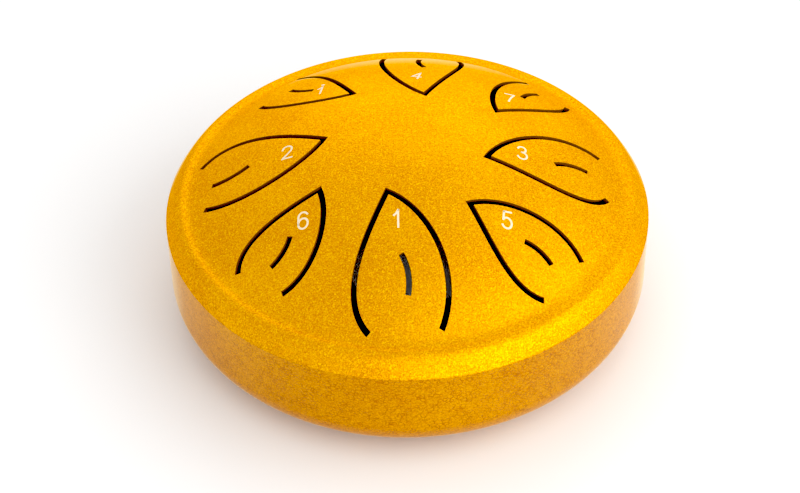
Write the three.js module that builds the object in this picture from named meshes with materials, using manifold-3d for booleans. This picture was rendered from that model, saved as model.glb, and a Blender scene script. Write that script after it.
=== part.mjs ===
// Small eight-note steel tongue drum.
// Two pressed steel shells are joined at the rim: a domed top with eight leaf-shaped tongues cut
// in it, and a flat-bottomed pan with a sound hole. Three rubber feet are screwed to the pan.
// Millimetres, +Z up. The origin is on the floor under the middle of the drum, -Y is the front.

import * as THREE from 'three';
import { mergeVertices } from 'three/addons/utils/BufferGeometryUtils.js';
import Module from 'manifold-3d';

const wasm = await Module();
wasm.setup();

// Shells
const DRUM_RADIUS = 77.5;
const SHEET = 1.2;
const FOOT_HEIGHT = 4;
const CREASE_HEIGHT = 32.4;
const PAN_EDGE_RADIUS = 11.5;
const SEAM_GAP = 0.3;

// Dome, groove and shoulder of the top shell. The shoulder's curve runs from its crest to the
// crease, and its fullness is how far out and how far down its two handles stand.
const SHOULDER_RISE = 6.2;
const SHOULDER_WIDTH = 5.9;
const SHOULDER_FULLNESS = { crestOut: 0.42, crestDown: 0, creaseOut: 0.72, creaseDown: 0.5 };
const GROOVE_WIDTH = 3.1;
const GROOVE_DEPTH = 0.2;
const DOME_RADIUS = DRUM_RADIUS - SHOULDER_WIDTH - GROOVE_WIDTH;
const DOME_RISE = 22.3;
const DOME_FULLNESS = 0.05;
const DOME_EDGE_LIFT = 0.7;
const LIP_HEIGHT = 0.4;
const SKIRT_LENGTH = 5;

// Sound hole and its turned-in collar
const SOUND_HOLE_RADIUS = 19;
const COLLAR_HEIGHT = 4.2;
const COLLAR_BEND = 1.4;

// Weld bead inside the rim
const BEAD_RADIUS = 0.65;

// Saw cuts round the tongues. The roots lie a little inside the dome's edge.
const KERF = 1.8;
const CUT_PAST_ROOT = 0.4;
const ROOT_INSET = 3.9;
const ROOT_DISTANCE = DOME_RADIUS - ROOT_INSET;
const ROOT_GAP = 0.3;

// Shape of the clockwise side of a tongue and of the other side. Each is a cubic curve from the
// tip to the root, and its two handles stand at shares of the tongue's length and of its belly.
const BELLY_CLOCKWISE_SHARE = 0.545;
const CLOCKWISE_SIDE = {
  turn: -1,
  bellyShare: BELLY_CLOCKWISE_SHARE,
  tipHandleAlong: 0.41,
  tipHandleOut: 0.65,
  rootHandleAlong: 0.8,
  rootHandleOut: 1.3,
};
const ANTICLOCKWISE_SIDE = {
  turn: 1,
  bellyShare: 1 - BELLY_CLOCKWISE_SHARE,
  tipHandleAlong: 0.16,
  tipHandleOut: 0.67,
  rootHandleAlong: 0.64,
  rootHandleOut: 1.33,
};

// Short slot along the middle of a tongue: its length as a share of the tongue's, and how far it
// bends anticlockwise as a share of its own length
const SLOT_LENGTH_SHARE = 0.3;
const SLOT_BEND_SHARE = 0.2;

// One entry for each tongue, lowest note first. azimuth is the direction of the tongue's root in
// degrees from +X. The rest are shares of the dome's radius: tipLean is how far the tip lies
// clockwise of that direction, belly and root are the tongue's widths, rootOut is how far the
// clockwise cut and the other one end beyond the root distance, slotFromRoot and slotLean place
// the start of the short slot, and numeral is its place along the tongue and across it.
const TONGUE_SHAPES = [
  {
    note: 'low_1', digit: '1', azimuth: -91, length: 0.609, tipLean: 0.083, belly: 0.429, root: 0.318,
    rootOut: [0.023, 0.006], slotFromRoot: 0.299, slotLean: -0.019, numeral: [0.479, -0.035],
  },
  {
    note: '2', digit: '2', azimuth: 180.3, length: 0.566, tipLean: 0.05, belly: 0.416, root: 0.312,
    rootOut: [0.025, -0.007], slotFromRoot: 0.213, slotLean: -0.01, numeral: [0.549, -0.015],
  },
  {
    note: '3', digit: '3', azimuth: -0.3, length: 0.575, tipLean: 0.095, belly: 0.385, root: 0.273,
    rootOut: [-0.019, -0.039], slotFromRoot: 0.26, slotLean: -0.035, numeral: [0.533, -0.022],
  },
  {
    note: '4', digit: '4', azimuth: 85.2, length: 0.578, tipLean: 0.061, belly: 0.356, root: 0.369,
    rootOut: [0.026, 0.026], slotFromRoot: 0.213, slotLean: -0.032, numeral: [0.582, -0.007],
  },
  {
    note: '5', digit: '5', azimuth: -43.8, length: 0.476, tipLean: 0.085, belly: 0.345, root: 0.286,
    rootOut: [0.022, -0.003], slotFromRoot: 0.201, slotLean: -0.022, numeral: [0.628, -0.012],
  },
  {
    note: '6', digit: '6', azimuth: -134.9, length: 0.469, tipLean: 0.085, belly: 0.327, root: 0.253,
    rootOut: [0.007, -0.026], slotFromRoot: 0.228, slotLean: -0.028, numeral: [0.629, -0.031],
  },
  {
    note: '7', digit: '7', azimuth: 42.9, length: 0.445, tipLean: 0.092, belly: 0.292, root: 0.266,
    rootOut: [0.003, 0], slotFromRoot: 0.206, slotLean: -0.029, numeral: [0.663, -0.018],
  },
  {
    note: 'high_1', digit: '1', azimuth: 132.3, length: 0.477, tipLean: 0.089, belly: 0.317, root: 0.32,
    rootOut: [0.028, -0.079], slotFromRoot: 0.245, slotLean: -0.036, numeral: [0.654, -0.047],
  },
];
const TONGUES = TONGUE_SHAPES.map((shape) => ({
  note: shape.note,
  digit: shape.digit,
  azimuth: shape.azimuth,
  length: shape.length * DOME_RADIUS,
  tipLean: shape.tipLean * DOME_RADIUS,
  belly: shape.belly * DOME_RADIUS,
  halfRoot: (shape.root * DOME_RADIUS) / 2,
  rootClockwise: ROOT_DISTANCE + shape.rootOut[0] * DOME_RADIUS,
  rootAnticlockwise: ROOT_DISTANCE + shape.rootOut[1] * DOME_RADIUS,
  slotStart: ROOT_DISTANCE - shape.slotFromRoot * DOME_RADIUS,
  slotLean: shape.slotLean * DOME_RADIUS,
  numeralAlong: shape.numeral[0] * DOME_RADIUS,
  numeralAcross: shape.numeral[1] * DOME_RADIUS,
}));

// Numerals printed in thick enamel
const NUMERAL_HEIGHT = 6.4;
const NUMERAL_WIDTH = 3.6;
const NUMERAL_STROKE = 0.95;
const NUMERAL_THICKNESS = 0.2;
const NUMERAL_CLEARANCE = 0.1;
const NUMERAL_TILT = { 4: -12, high_1: -8 };
const OCTAVE_DOT_NOTE = 'high_1';
const OCTAVE_DOT_RADIUS = 0.62;
const OCTAVE_DOT_GAP = 0.7;

// Feet and their fixings
const FOOT_COUNT = 3;
const FOOT_INSET = 25.5;
const FOOT_CIRCLE_RADIUS = DRUM_RADIUS - FOOT_INSET;
const FOOT_TOP_RADIUS = 8.5;
const FOOT_BOTTOM_RADIUS = 7;
const FOOT_CHAMFER = 0.8;
const FIRST_FOOT_AZIMUTH = 90;
const SCREW_RADIUS = 1.5;
const SCREW_LENGTH = 6;
const SCREW_CLEARANCE = 0.3;
const HEAD_RADIUS = 2.75;
const HEAD_HEIGHT = 1.7;
const HEAD_CROWN_SHARE = 0.75;
const HEAD_ROUNDING_SHARE = 0.45;
const SCREW_TIP_CHAMFER = 0.38;
const HEAD_POCKET_CLEARANCE = 0.6;
const FOOT_FLOOR_THICKNESS = 1.8;
const DRIVE_WIDTH = 0.8;
const DRIVE_LENGTH = 3.2;
const DRIVE_DEPTH = 0.9;
const WASHER_RADIUS = 3.5;
const WASHER_THICKNESS = 0.5;
const NUT_ACROSS_FLATS = 5.5;
const NUT_HEIGHT = 2.4;

// Smoothness of the round shapes
const SHELL_SEGMENTS = 64;
const SMALL_SEGMENTS = 16;
const BEAD_SEGMENTS = 6;
const DOME_STEPS = 9;
const SHOULDER_STEPS = 5;
const PAN_EDGE_STEPS = 6;
const COLLAR_STEPS = 3;
const CUT_STEPS = 9;
const DIGIT_STEP_DEGREES = 30;
const MERGE_DISTANCE = 1e-4;

const rad = THREE.MathUtils.degToRad;

// Materials
const lacquer = new THREE.MeshStandardMaterial({ color: 0xe8a50a, roughness: 0.42, metalness: 0.55 });
const enamel = new THREE.MeshStandardMaterial({ color: 0xf4ead8, roughness: 0.5, metalness: 0 });
const rubber = new THREE.MeshStandardMaterial({ color: 0x1b1b1c, roughness: 0.85, metalness: 0 });
const plating = new THREE.MeshStandardMaterial({ color: 0xc4c8cc, roughness: 0.3, metalness: 1 });
const bareSteel = new THREE.MeshStandardMaterial({ color: 0x6d6a66, roughness: 0.55, metalness: 0.9 });

// A closed solid from a three.js geometry, with its shared corners merged.
function solidFrom(geometry) {
  const bare = geometry.index ? geometry.toNonIndexed() : geometry.clone();
  bare.deleteAttribute('normal');
  bare.deleteAttribute('uv');
  const merged = mergeVertices(bare, MERGE_DISTANCE);
  const corners = merged.index.array;
  const triangles = [];
  for (let i = 0; i < corners.length; i += 3) {
    const [a, b, c] = [corners[i], corners[i + 1], corners[i + 2]];
    if (a !== b && b !== c && c !== a) {
      triangles.push(a, b, c);
    }
  }
  return new wasm.Manifold(new wasm.Mesh({
    numProp: 3,
    vertProperties: new Float32Array(merged.attributes.position.array),
    triVerts: new Uint32Array(triangles),
  }));
}

// A three.js geometry from a solid.
function geometryFrom(solid) {
  const mesh = solid.getMesh();
  const geometry = new THREE.BufferGeometry();
  geometry.setAttribute('position', new THREE.BufferAttribute(new Float32Array(mesh.vertProperties), 3));
  geometry.setIndex(new THREE.BufferAttribute(new Uint32Array(mesh.triVerts), 1));
  return geometry;
}

// A profile of [radius, height] points, listed anticlockwise as seen with the axis on the left,
// turned about the Z axis.
function turned(profile, segments) {
  const points = profile.map(([radius, height]) => new THREE.Vector2(radius, height));
  const geometry = new THREE.LatheGeometry(points, segments);
  geometry.rotateX(Math.PI / 2);
  return geometry;
}

function closedProfile(profile) {
  return [...profile, profile[0]];
}

function ellipsePoints(x, y, halfWidth, halfHeight, start, end, steps) {
  const arc = new THREE.EllipseCurve(x, y, halfWidth, halfHeight, rad(start), rad(end), end < start);
  return arc.getPoints(steps).map((point) => [point.x, point.y]);
}

function arcPoints(x, y, radius, start, end, steps) {
  return ellipsePoints(x, y, radius, radius, start, end, steps);
}

// A flat outline pulled up from bottom to top.
function prism(outline, bottom, top) {
  const shape = new THREE.Shape(outline);
  const geometry = new THREE.ExtrudeGeometry(shape, { depth: top - bottom, bevelEnabled: false });
  geometry.translate(0, 0, bottom);
  return geometry;
}

// Heights of the main levels above the floor
const PAN_BOTTOM = FOOT_HEIGHT;
const CREASE = PAN_BOTTOM + CREASE_HEIGHT;
const LIP_BOTTOM = CREASE - LIP_HEIGHT;
const SHOULDER_TOP = CREASE + SHOULDER_RISE;
const GROOVE_LEVEL = SHOULDER_TOP - GROOVE_DEPTH;
const PAN_WALL_TOP = LIP_BOTTOM - SEAM_GAP;
const PAN_INNER_RADIUS = DRUM_RADIUS - SHEET;
const SKIRT_RADIUS = PAN_INNER_RADIUS - SEAM_GAP;
const SKIRT_INNER_RADIUS = SKIRT_RADIUS - SHEET;
const SKIRT_BOTTOM = LIP_BOTTOM - SKIRT_LENGTH;

// Height of the dome's outer face at a distance from the axis.
function domeHeight(radius) {
  const share = (radius / DOME_RADIUS) ** 2;
  return GROOVE_LEVEL + DOME_EDGE_LIFT + DOME_RISE * (1 - share) * (1 + DOME_FULLNESS * share);
}

// How steeply the dome falls away there.
function domeSlope(radius) {
  const share = (radius / DOME_RADIUS) ** 2;
  const fall = 1 - DOME_FULLNESS + 2 * DOME_FULLNESS * share;
  return (DOME_RISE * fall * 2 * radius) / DOME_RADIUS ** 2;
}

// The outer face of the top shell, from the axis out to the crease.
function topOuterLine() {
  const line = [];
  for (let i = 0; i <= DOME_STEPS; i += 1) {
    const radius = (DOME_RADIUS * i) / DOME_STEPS;
    line.push([radius, domeHeight(radius)]);
  }
  const crest = DRUM_RADIUS - SHOULDER_WIDTH;
  line.push([(DOME_RADIUS + crest) / 2, GROOVE_LEVEL]);
  const { crestOut, crestDown, creaseOut, creaseDown } = SHOULDER_FULLNESS;
  const shoulder = new THREE.CubicBezierCurve(
    new THREE.Vector2(crest, SHOULDER_TOP),
    new THREE.Vector2(crest + SHOULDER_WIDTH * crestOut, SHOULDER_TOP - SHOULDER_RISE * crestDown),
    new THREE.Vector2(crest + SHOULDER_WIDTH * creaseOut, SHOULDER_TOP - SHOULDER_RISE * creaseDown),
    new THREE.Vector2(DRUM_RADIUS, CREASE),
  );
  line.push(...shoulder.getPoints(SHOULDER_STEPS).map((point) => [point.x, point.y]));
  return line;
}

// The same line one sheet thickness further in, up to the inside of the skirt.
function topInnerLine(outer) {
  const inner = [];
  for (let i = 1; i < outer.length - 1; i += 1) {
    const run = outer[i + 1][0] - outer[i - 1][0];
    const fall = outer[i - 1][1] - outer[i + 1][1];
    const length = Math.hypot(run, fall);
    const point = [outer[i][0] - (SHEET * fall) / length, outer[i][1] - (SHEET * run) / length];
    if (point[0] < SKIRT_INNER_RADIUS - SHEET / 2) {
      inner.push(point);
    }
  }
  return [[0, outer[0][1] - SHEET], ...inner];
}

function wholeTopShell() {
  const outer = topOuterLine();
  const inner = topInnerLine(outer);
  const underShoulder = inner[inner.length - 1][1];
  return turned([
    ...outer,
    [DRUM_RADIUS, LIP_BOTTOM],
    [SKIRT_RADIUS, LIP_BOTTOM],
    [SKIRT_RADIUS, SKIRT_BOTTOM],
    [SKIRT_INNER_RADIUS, SKIRT_BOTTOM],
    [SKIRT_INNER_RADIUS, underShoulder - SHEET],
    ...inner.reverse(),
  ].reverse(), SHELL_SEGMENTS);
}

// Outlines of the tongues, in plan, with x along the tongue's own direction and y anticlockwise

function tipOf(tongue) {
  return new THREE.Vector2(ROOT_DISTANCE - tongue.length, -tongue.tipLean);
}

function rootAlong(tongue, side) {
  return side.turn > 0 ? tongue.rootAnticlockwise : tongue.rootClockwise;
}

function sideCurve(tongue, side) {
  const tip = tipOf(tongue);
  const belly = tongue.belly * side.bellyShare;
  const tipHandleOut = side.tipHandleOut * (belly + side.turn * tongue.tipLean);
  const rootHandleOut = side.rootHandleOut * belly;
  return new THREE.CubicBezierCurve(
    tip,
    new THREE.Vector2(tip.x + side.tipHandleAlong * tongue.length, tip.y + side.turn * tipHandleOut),
    new THREE.Vector2(tip.x + side.rootHandleAlong * tongue.length, side.turn * rootHandleOut),
    new THREE.Vector2(rootAlong(tongue, side), side.turn * tongue.halfRoot),
  );
}

// The two edges of a saw cut that follows a curve, as one outline. The cut runs on past its
// start and its end by the given lengths.
function cutOutline(curve, pastStart, pastEnd) {
  const left = [];
  const right = [];
  for (let i = 0; i <= CUT_STEPS; i += 1) {
    const share = i / CUT_STEPS;
    const point = curve.getPoint(share);
    const along = curve.getTangent(share);
    if (i === 0) {
      point.addScaledVector(along, -pastStart);
    }
    if (i === CUT_STEPS) {
      point.addScaledVector(along, pastEnd);
    }
    const across = new THREE.Vector2(-along.y, along.x).multiplyScalar(KERF / 2);
    left.push(point.clone().add(across));
    right.push(point.clone().sub(across));
  }
  return [...left, ...right.reverse()];
}

const CUT_BOTTOM = SKIRT_BOTTOM;
const CUT_TOP = SHOULDER_TOP + 2 * DOME_RISE;

function placedCutter(outline, azimuth) {
  const geometry = prism(outline, CUT_BOTTOM, CUT_TOP);
  geometry.rotateZ(rad(azimuth));
  return solidFrom(geometry);
}

// All that the saw takes away round one tongue: a cut along each side, and the short middle slot.
// The side cuts run on past the tip until their outer edges meet in a point.
function tongueCuts(tongue) {
  const sides = [sideCurve(tongue, CLOCKWISE_SIDE), sideCurve(tongue, ANTICLOCKWISE_SIDE)];
  const tipAngle = sides[0].getTangent(0).angleTo(sides[1].getTangent(0));
  const pastTip = KERF / 2 / Math.tan(tipAngle / 2);
  const slotLength = SLOT_LENGTH_SHARE * tongue.length;
  const slotEndLean = tongue.slotLean + SLOT_BEND_SHARE * slotLength;
  const slot = new THREE.QuadraticBezierCurve(
    new THREE.Vector2(tongue.slotStart, tongue.slotLean),
    new THREE.Vector2(tongue.slotStart + slotLength / 2, slotEndLean),
    new THREE.Vector2(tongue.slotStart + slotLength, slotEndLean),
  );
  return {
    sides: sides.map((side) => placedCutter(cutOutline(side, pastTip, CUT_PAST_ROOT), tongue.azimuth)),
    slot: placedCutter(cutOutline(slot, 0, 0), tongue.azimuth),
  };
}

// The leaf between the middles of the two side cuts, closed by a straight line at the root.
function leafOutline(tongue, rootGap) {
  const [clockwise, anticlockwise] = [CLOCKWISE_SIDE, ANTICLOCKWISE_SIDE].map((side) => {
    const line = sideCurve(tongue, side).getPoints(CUT_STEPS);
    line[CUT_STEPS].x -= rootGap;
    return line;
  });
  return [...clockwise, ...anticlockwise.slice(1).reverse()];
}

const drum = new THREE.Group();

function addPiece(name, geometry, material, parent = drum) {
  const mesh = new THREE.Mesh(geometry, material);
  mesh.name = name;
  parent.add(mesh);
  return mesh;
}

// Top shell and tongues

let topShell = solidFrom(wholeTopShell());
const uncutShell = topShell;
for (const tongue of TONGUES) {
  const cuts = tongueCuts(tongue);
  topShell = topShell.subtract(placedCutter(leafOutline(tongue, 0), tongue.azimuth));
  let leaf = uncutShell.intersect(placedCutter(leafOutline(tongue, ROOT_GAP), tongue.azimuth));
  for (const side of cuts.sides) {
    topShell = topShell.subtract(side);
    leaf = leaf.subtract(side);
  }
  leaf = leaf.subtract(cuts.slot);
  addPiece(`tongue_${tongue.note}`, geometryFrom(leaf), lacquer);
}
addPiece('top_shell', geometryFrom(topShell), lacquer);

// Numerals

// Strokes of each digit, as lines and arcs in a box one wide and one high.
const DIGITS = {
  1: [[[0.2, 0.78], [0.56, 1]], [[0.56, 1], [0.56, 0]]],
  2: [[...bowl(0.5, 0.74, 0.5, 0.26, 180, -30), [0, 0]], [[0, 0], [1, 0]]],
  3: [bowl(0.46, 0.77, 0.42, 0.23, 160, -90), bowl(0.46, 0.27, 0.5, 0.27, 90, -160)],
  4: [[[0.74, 0], [0.74, 1]], [[0.74, 1], [0, 0.3]], [[0, 0.3], [1, 0.3]]],
  5: [[[0.92, 1], [0.2, 1]], [[0.2, 1], [0.1, 0.52]], bowl(0.46, 0.32, 0.5, 0.32, 135, -155)],
  6: [
    bowl(0.5, 0.7, 0.5, 0.3, 30, 180),
    [[0, 0.7], [0, 0.31]],
    bowl(0.5, 0.31, 0.5, 0.31, 180, 0),
    bowl(0.5, 0.31, 0.5, 0.31, 0, -180),
  ],
  7: [[[0, 1], [1, 1]], [[1, 1], [0.32, 0]]],
};

function bowl(x, y, halfWidth, halfHeight, start, end) {
  const steps = Math.ceil(Math.abs(end - start) / DIGIT_STEP_DEGREES);
  return ellipsePoints(x, y, halfWidth, halfHeight, start, end, steps);
}

// One stroke of constant width along a smooth line of points, with a square end at each end.
function strokeOutline(points) {
  const half = NUMERAL_STROKE / 2;
  const left = [];
  const right = [];
  const last = points.length - 1;
  for (let i = 0; i <= last; i += 1) {
    const along = points[Math.min(i + 1, last)].clone().sub(points[Math.max(i - 1, 0)]).normalize();
    const point = points[i].clone();
    if (i === 0) {
      point.addScaledVector(along, -half);
    }
    if (i === last) {
      point.addScaledVector(along, half);
    }
    const across = new THREE.Vector2(-along.y, along.x).multiplyScalar(half);
    left.push(point.clone().add(across));
    right.push(point.clone().sub(across));
  }
  return [...left, ...right.reverse()];
}

function digitSolid(digit) {
  const width = NUMERAL_WIDTH - NUMERAL_STROKE;
  const height = NUMERAL_HEIGHT - NUMERAL_STROKE;
  const top = NUMERAL_CLEARANCE + NUMERAL_THICKNESS;
  const strokes = DIGITS[digit].map((stroke) => {
    const points = stroke.map(([x, y]) => new THREE.Vector2((x - 0.5) * width, (y - 0.5) * height));
    return solidFrom(prism(strokeOutline(points), NUMERAL_CLEARANCE, top));
  });
  return strokes.reduce((whole, stroke) => whole.add(stroke));
}

// Lays a piece on the dome at a plan position, with its own +Y towards the rear of the drum.
function layOnDome(mesh, x, y, tiltDegrees) {
  const radius = Math.hypot(x, y);
  const slope = domeSlope(radius);
  const normal = new THREE.Vector3((x / radius) * slope, (y / radius) * slope, 1).normalize();
  const rear = new THREE.Vector3(-Math.sin(rad(tiltDegrees)), Math.cos(rad(tiltDegrees)), 0);
  const right = rear.clone().cross(normal).normalize();
  const up = normal.clone().cross(right);
  mesh.quaternion.setFromRotationMatrix(new THREE.Matrix4().makeBasis(right, up, normal));
  mesh.position.set(x, y, domeHeight(radius));
}

for (const tongue of TONGUES) {
  const place = new THREE.Vector2(tongue.numeralAlong, tongue.numeralAcross);
  place.rotateAround(new THREE.Vector2(), rad(tongue.azimuth));
  const tilt = NUMERAL_TILT[tongue.note] ?? 0;
  const numeral = addPiece(`numeral_${tongue.note}`, geometryFrom(digitSolid(tongue.digit)), enamel);
  layOnDome(numeral, place.x, place.y, tilt);
  if (tongue.note === OCTAVE_DOT_NOTE) {
    const dot = new THREE.CylinderGeometry(
      OCTAVE_DOT_RADIUS, OCTAVE_DOT_RADIUS, NUMERAL_THICKNESS, SMALL_SEGMENTS,
    );
    dot.rotateX(Math.PI / 2);
    const rise = NUMERAL_HEIGHT / 2 + OCTAVE_DOT_GAP + OCTAVE_DOT_RADIUS;
    dot.translate(0, rise, NUMERAL_CLEARANCE + NUMERAL_THICKNESS / 2);
    layOnDome(addPiece('octave_dot', dot, enamel), place.x, place.y, tilt);
  }
}

// Bottom pan

function wholePan() {
  const edgeCentre = DRUM_RADIUS - PAN_EDGE_RADIUS;
  const edgeLevel = PAN_BOTTOM + PAN_EDGE_RADIUS;
  const bendCentre = SOUND_HOLE_RADIUS + SHEET + COLLAR_BEND;
  const bendLevel = PAN_BOTTOM + SHEET + COLLAR_BEND;
  return turned(closedProfile([
    ...arcPoints(bendCentre, bendLevel, SHEET + COLLAR_BEND, 180, 270, COLLAR_STEPS),
    ...arcPoints(edgeCentre, edgeLevel, PAN_EDGE_RADIUS, -90, 0, PAN_EDGE_STEPS),
    [DRUM_RADIUS, PAN_WALL_TOP],
    [PAN_INNER_RADIUS, PAN_WALL_TOP],
    ...arcPoints(edgeCentre, edgeLevel, PAN_EDGE_RADIUS - SHEET, 0, -90, PAN_EDGE_STEPS),
    ...arcPoints(bendCentre, bendLevel, COLLAR_BEND, 270, 180, COLLAR_STEPS),
    [SOUND_HOLE_RADIUS + SHEET, PAN_BOTTOM + COLLAR_HEIGHT],
    [SOUND_HOLE_RADIUS, PAN_BOTTOM + COLLAR_HEIGHT],
  ]), SHELL_SEGMENTS);
}

const SCREW_HOLE_RADIUS = SCREW_RADIUS + SCREW_CLEARANCE;
const HEAD_POCKET_RADIUS = HEAD_RADIUS + HEAD_POCKET_CLEARANCE;
const PAN_FLOOR_TOP = PAN_BOTTOM + SHEET;
const HEAD_SEAT = FOOT_HEIGHT - FOOT_FLOOR_THICKNESS;

const footPlaces = [];
for (let i = 0; i < FOOT_COUNT; i += 1) {
  const azimuth = rad(FIRST_FOOT_AZIMUTH + (360 / FOOT_COUNT) * i);
  footPlaces.push(new THREE.Vector3(
    FOOT_CIRCLE_RADIUS * Math.cos(azimuth), FOOT_CIRCLE_RADIUS * Math.sin(azimuth), 0,
  ));
}

let pan = solidFrom(wholePan());
for (const place of footPlaces) {
  const drill = new THREE.CylinderGeometry(SCREW_HOLE_RADIUS, SCREW_HOLE_RADIUS, 4 * SHEET, SMALL_SEGMENTS);
  drill.rotateX(Math.PI / 2);
  drill.translate(place.x, place.y, PAN_BOTTOM + SHEET / 2);
  pan = pan.subtract(solidFrom(drill));
}
addPiece('bottom_pan', geometryFrom(pan), lacquer);

// Weld bead under the skirt, against the pan's wall
const beadRing = PAN_INNER_RADIUS - SEAM_GAP - BEAD_RADIUS;
const bead = new THREE.TorusGeometry(beadRing, BEAD_RADIUS, BEAD_SEGMENTS, SHELL_SEGMENTS);
bead.translate(0, 0, SKIRT_BOTTOM - SEAM_GAP - BEAD_RADIUS);
addPiece('rim_weld_bead', bead, bareSteel);

// Feet

function footGeometry() {
  return turned(closedProfile([
    [HEAD_POCKET_RADIUS, 0],
    [FOOT_BOTTOM_RADIUS, 0],
    [FOOT_BOTTOM_RADIUS + FOOT_CHAMFER, FOOT_CHAMFER],
    [FOOT_TOP_RADIUS, FOOT_HEIGHT],
    [SCREW_HOLE_RADIUS, FOOT_HEIGHT],
    [SCREW_HOLE_RADIUS, HEAD_SEAT],
    [HEAD_POCKET_RADIUS, HEAD_SEAT],
  ]), SMALL_SEGMENTS);
}

// A pan-head screw, head down, with a cross drive.
function screwGeometry() {
  const headBottom = HEAD_SEAT - HEAD_HEIGHT;
  const body = solidFrom(turned([
    [0, headBottom],
    [HEAD_RADIUS * HEAD_CROWN_SHARE, headBottom],
    [HEAD_RADIUS, headBottom + HEAD_HEIGHT * HEAD_ROUNDING_SHARE],
    [HEAD_RADIUS, HEAD_SEAT],
    [SCREW_RADIUS, HEAD_SEAT],
    [SCREW_RADIUS, HEAD_SEAT + SCREW_LENGTH - SCREW_TIP_CHAMFER],
    [SCREW_RADIUS - SCREW_TIP_CHAMFER, HEAD_SEAT + SCREW_LENGTH],
    [0, HEAD_SEAT + SCREW_LENGTH],
  ], SMALL_SEGMENTS));
  const arm = new THREE.BoxGeometry(DRIVE_LENGTH, DRIVE_WIDTH, 2 * DRIVE_DEPTH);
  arm.translate(0, 0, headBottom);
  const across = solidFrom(arm);
  const along = solidFrom(arm.clone().rotateZ(Math.PI / 2));
  return geometryFrom(body.subtract(across).subtract(along));
}

function washerGeometry() {
  const top = PAN_FLOOR_TOP + WASHER_THICKNESS;
  return turned(closedProfile([
    [SCREW_HOLE_RADIUS, PAN_FLOOR_TOP],
    [WASHER_RADIUS, PAN_FLOOR_TOP],
    [WASHER_RADIUS, top],
    [SCREW_HOLE_RADIUS, top],
  ]), SMALL_SEGMENTS);
}

function nutGeometry() {
  const corner = NUT_ACROSS_FLATS / 2 / Math.cos(Math.PI / 6);
  const corners = [];
  for (let i = 0; i < 6; i += 1) {
    corners.push(new THREE.Vector2(corner, 0).rotateAround(new THREE.Vector2(), (Math.PI / 3) * i));
  }
  const shape = new THREE.Shape(corners);
  shape.holes.push(new THREE.Path().absarc(0, 0, SCREW_HOLE_RADIUS, 0, 2 * Math.PI, true));
  const nut = new THREE.ExtrudeGeometry(shape, {
    depth: NUT_HEIGHT,
    bevelEnabled: false,
    curveSegments: SMALL_SEGMENTS / 2,
  });
  nut.translate(0, 0, PAN_FLOOR_TOP + WASHER_THICKNESS);
  return nut;
}

footPlaces.forEach((place, i) => {
  const fixing = new THREE.Group();
  fixing.position.copy(place);
  drum.add(fixing);
  addPiece(`rubber_foot_${i + 1}`, footGeometry(), rubber, fixing);
  addPiece(`foot_screw_${i + 1}`, screwGeometry(), plating, fixing);
  addPiece(`foot_washer_${i + 1}`, washerGeometry(), plating, fixing);
  addPiece(`foot_nut_${i + 1}`, nutGeometry(), plating, fixing);
});

export default drum;
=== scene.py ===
import math

import bmesh
import bpy
from mathutils import Matrix, Vector


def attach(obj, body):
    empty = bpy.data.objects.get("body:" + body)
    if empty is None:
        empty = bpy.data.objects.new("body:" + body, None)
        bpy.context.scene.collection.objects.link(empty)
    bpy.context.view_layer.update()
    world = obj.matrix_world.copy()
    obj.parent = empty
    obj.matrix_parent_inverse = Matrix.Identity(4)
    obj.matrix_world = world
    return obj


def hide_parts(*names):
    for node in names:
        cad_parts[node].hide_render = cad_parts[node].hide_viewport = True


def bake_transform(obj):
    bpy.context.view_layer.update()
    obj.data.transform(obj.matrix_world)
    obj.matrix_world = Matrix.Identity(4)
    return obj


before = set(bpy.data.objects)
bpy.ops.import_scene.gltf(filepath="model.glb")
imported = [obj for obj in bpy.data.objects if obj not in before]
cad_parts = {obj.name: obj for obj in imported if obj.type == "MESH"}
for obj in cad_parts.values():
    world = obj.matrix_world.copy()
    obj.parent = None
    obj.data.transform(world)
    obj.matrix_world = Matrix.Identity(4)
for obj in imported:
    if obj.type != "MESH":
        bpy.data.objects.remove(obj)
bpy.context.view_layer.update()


# Camera
# The drum is seen from the front and well above, through a long lens about 0.7 m away, turned a
# little clockwise. The small shift puts the drum where it stands in the picture, and the raised
# black point gives the picture's deep shadows.

CAMERA_DISTANCE = 0.700
CAMERA_ELEVATION = math.radians(42.548)
CAMERA_TURN = math.radians(-0.842)
CAMERA_AIM = Vector((0, 0, 0.024))
BLACK_POINT = 0.03

camera_data = bpy.data.cameras.new("photo_camera")
camera_data.sensor_width = 36
camera_data.lens = 96.59
camera_data.shift_x = -0.009476
camera_data.shift_y = -0.015989
camera_data.clip_start = 0.01
camera_data.clip_end = 50
camera = bpy.data.objects.new("photo_camera", camera_data)
bpy.context.scene.collection.objects.link(camera)
backward = Vector((0, -math.cos(CAMERA_ELEVATION), math.sin(CAMERA_ELEVATION)))
level_up = Vector((0, math.sin(CAMERA_ELEVATION), math.cos(CAMERA_ELEVATION)))
level_right = Vector((1, 0, 0))
camera_right = math.cos(CAMERA_TURN) * level_right + math.sin(CAMERA_TURN) * level_up
camera_up = math.cos(CAMERA_TURN) * level_up - math.sin(CAMERA_TURN) * level_right
camera.matrix_world = Matrix.Translation(CAMERA_AIM + CAMERA_DISTANCE * backward) @ Matrix(
    (camera_right, camera_up, backward)).transposed().to_4x4()
bpy.context.scene.camera = camera
colour_view = bpy.context.scene.view_settings
colour_view.view_transform = "Standard"
colour_view.use_curve_mapping = True
colour_view.curve_mapping.black_level = (BLACK_POINT, BLACK_POINT, BLACK_POINT)
colour_view.curve_mapping.update()


# Studio
# A plain white sweep under even white light: wide softboxes behind the drum, on its right and low in
# front of it, and a bright room all round. Where the lacquer is seen edge-on, a painted reflection of that
# room pales its colour.

FLOOR_SIZE = 30
PAPER_WHITE = (0.92, 0.92, 0.92, 1)
LIGHT_AIM = Vector((0, 0, 0.03))

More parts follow.
